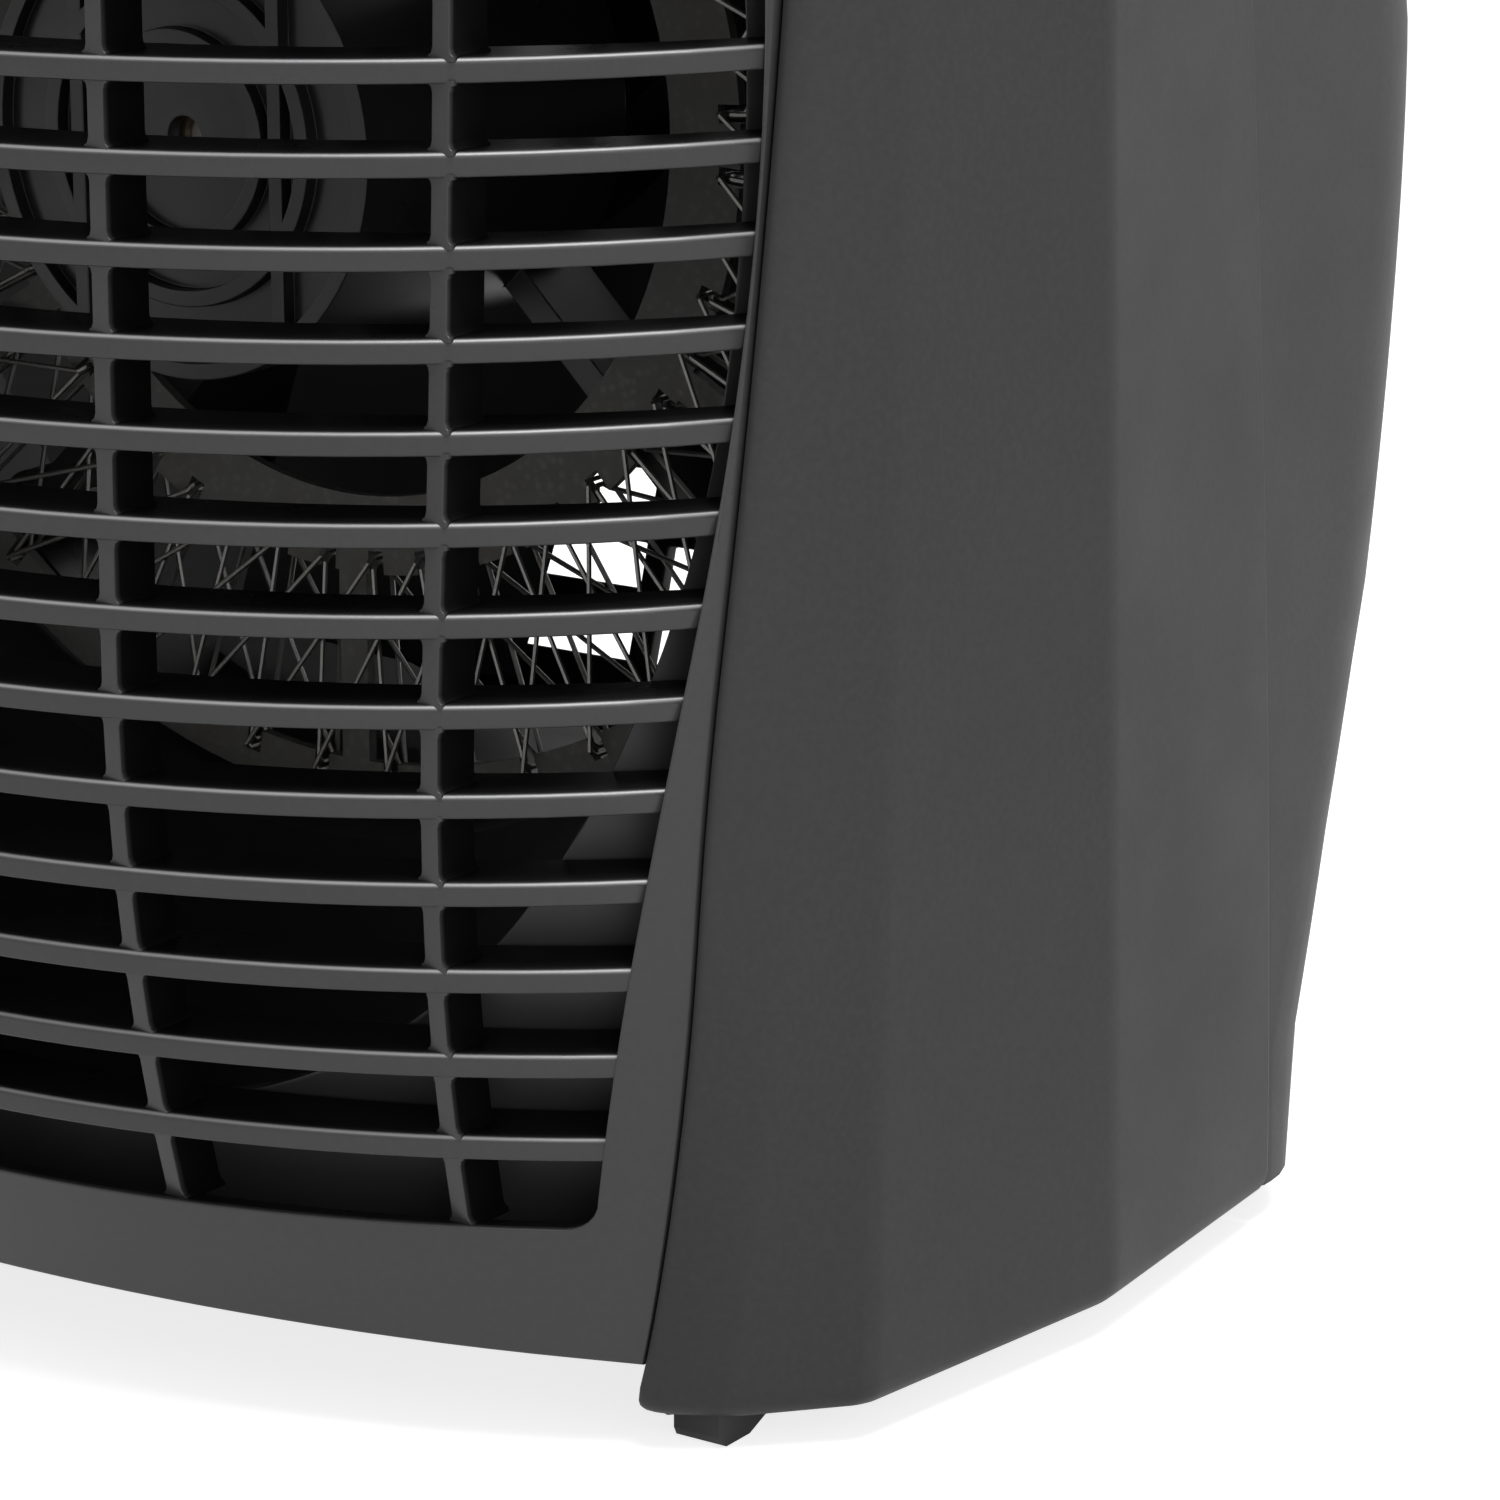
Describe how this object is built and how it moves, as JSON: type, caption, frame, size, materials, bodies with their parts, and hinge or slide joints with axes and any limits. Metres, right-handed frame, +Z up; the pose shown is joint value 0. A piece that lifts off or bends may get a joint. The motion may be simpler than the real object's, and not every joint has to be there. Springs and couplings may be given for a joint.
{
  "type": "fan heater",
  "caption": "Compact upright fan heater with a bowed slatted front, faceted side shells, a slotted rear cover, top knobs and a carry handle.",
  "frame": {"origin": "on the ground, under the middle of the body's width and depth", "axes": "+X to the right of someone facing the grille, -Y the front, +Z up"},
  "size_m": [0.1738, 0.165, 0.2741],
  "materials": {
    "casing_plastic": "fine matt texture",
    "black_plastic": "matt",
    "foot_rubber": "matt",
    "baffle_paint": "satin grey paint",
    "motor_plastic": "satin",
    "switch_plastic": "matt",
    "steel": "plain",
    "copper": "enamelled wire",
    "bronze": "sintered",
    "mica": "satin sheet",
    "resistance_wire": "drawn",
    "fuse_case": "plain",
    "lamp_glass": "clear",
    "lens_red": "gloss",
    "block_plastic": "matt",
    "supply_insulation": "satin insulation",
    "lead_insulation": "glass-fibre sleeve"
  },
  "bodies": {
    "casing": {"front_panel": "casing_plastic", "left_wing": "casing_plastic", "right_wing": "casing_plastic", "rear_cover": "casing_plastic", "base_plate": "black_plastic", "front_feet": "casing_plastic", "rear_feet": "foot_rubber", "top_cover": "casing_plastic", "carry_handle": "black_plastic", "cord_inlet": "black_plastic", "outlet_baffle": "baffle_paint", "air_tunnel": "black_plastic", "fan_duct": "black_plastic", "motor_bracket": "motor_plastic", "motor_stator": "steel", "motor_winding": "copper", "motor_end_cap": "motor_plastic", "motor_bearings": "bronze", "heater_mica": "mica", "heater_wire_a": "resistance_wire", "heater_wire_b": "resistance_wire", "heater_standoffs": "mica", "thermal_cutout": "steel", "thermal_fuse": "fuse_case", "control_plate": "steel", "selector_switch": "switch_plastic", "thermostat": "steel", "pilot_lamp": "lamp_glass", "pilot_lens": "lens_red", "terminal_block": "block_plastic", "supply_leads": "supply_insulation", "heater_leads": "lead_insulation", "motor_leads": "lead_insulation", "rear_screws": "steel", "base_screws": "steel", "bracket_screws": "steel", "handle_screws": "steel", "plate_screws": "steel"},
    "fan": {"fan_impeller": "black_plastic", "fan_clip": "steel", "motor_rotor": "steel", "motor_shaft": "steel"},
    "selector": {"selector_spindle": "steel", "selector_knob": "black_plastic"},
    "thermostat_dial": {"thermostat_spindle": "steel", "thermostat_knob": "black_plastic"}
  },
  "joints": [
    {"name": "fan_spin", "type": "hinge", "parent": "casing", "child": "fan", "pos_m": [0, 0, 0.112], "axis": [0, 1, 0], "continuous": true},
    {"name": "selector_turn", "type": "hinge", "parent": "casing", "child": "selector", "pos_m": [-0.03, -0.0245, 0.2405], "axis": [0, 0, 1], "range_deg": [-270, 0]},
    {"name": "thermostat_turn", "type": "hinge", "parent": "casing", "child": "thermostat_dial", "pos_m": [0.03, -0.0245, 0.2405], "axis": [0, 0, 1], "range_deg": [-270, 0]}
  ]
}
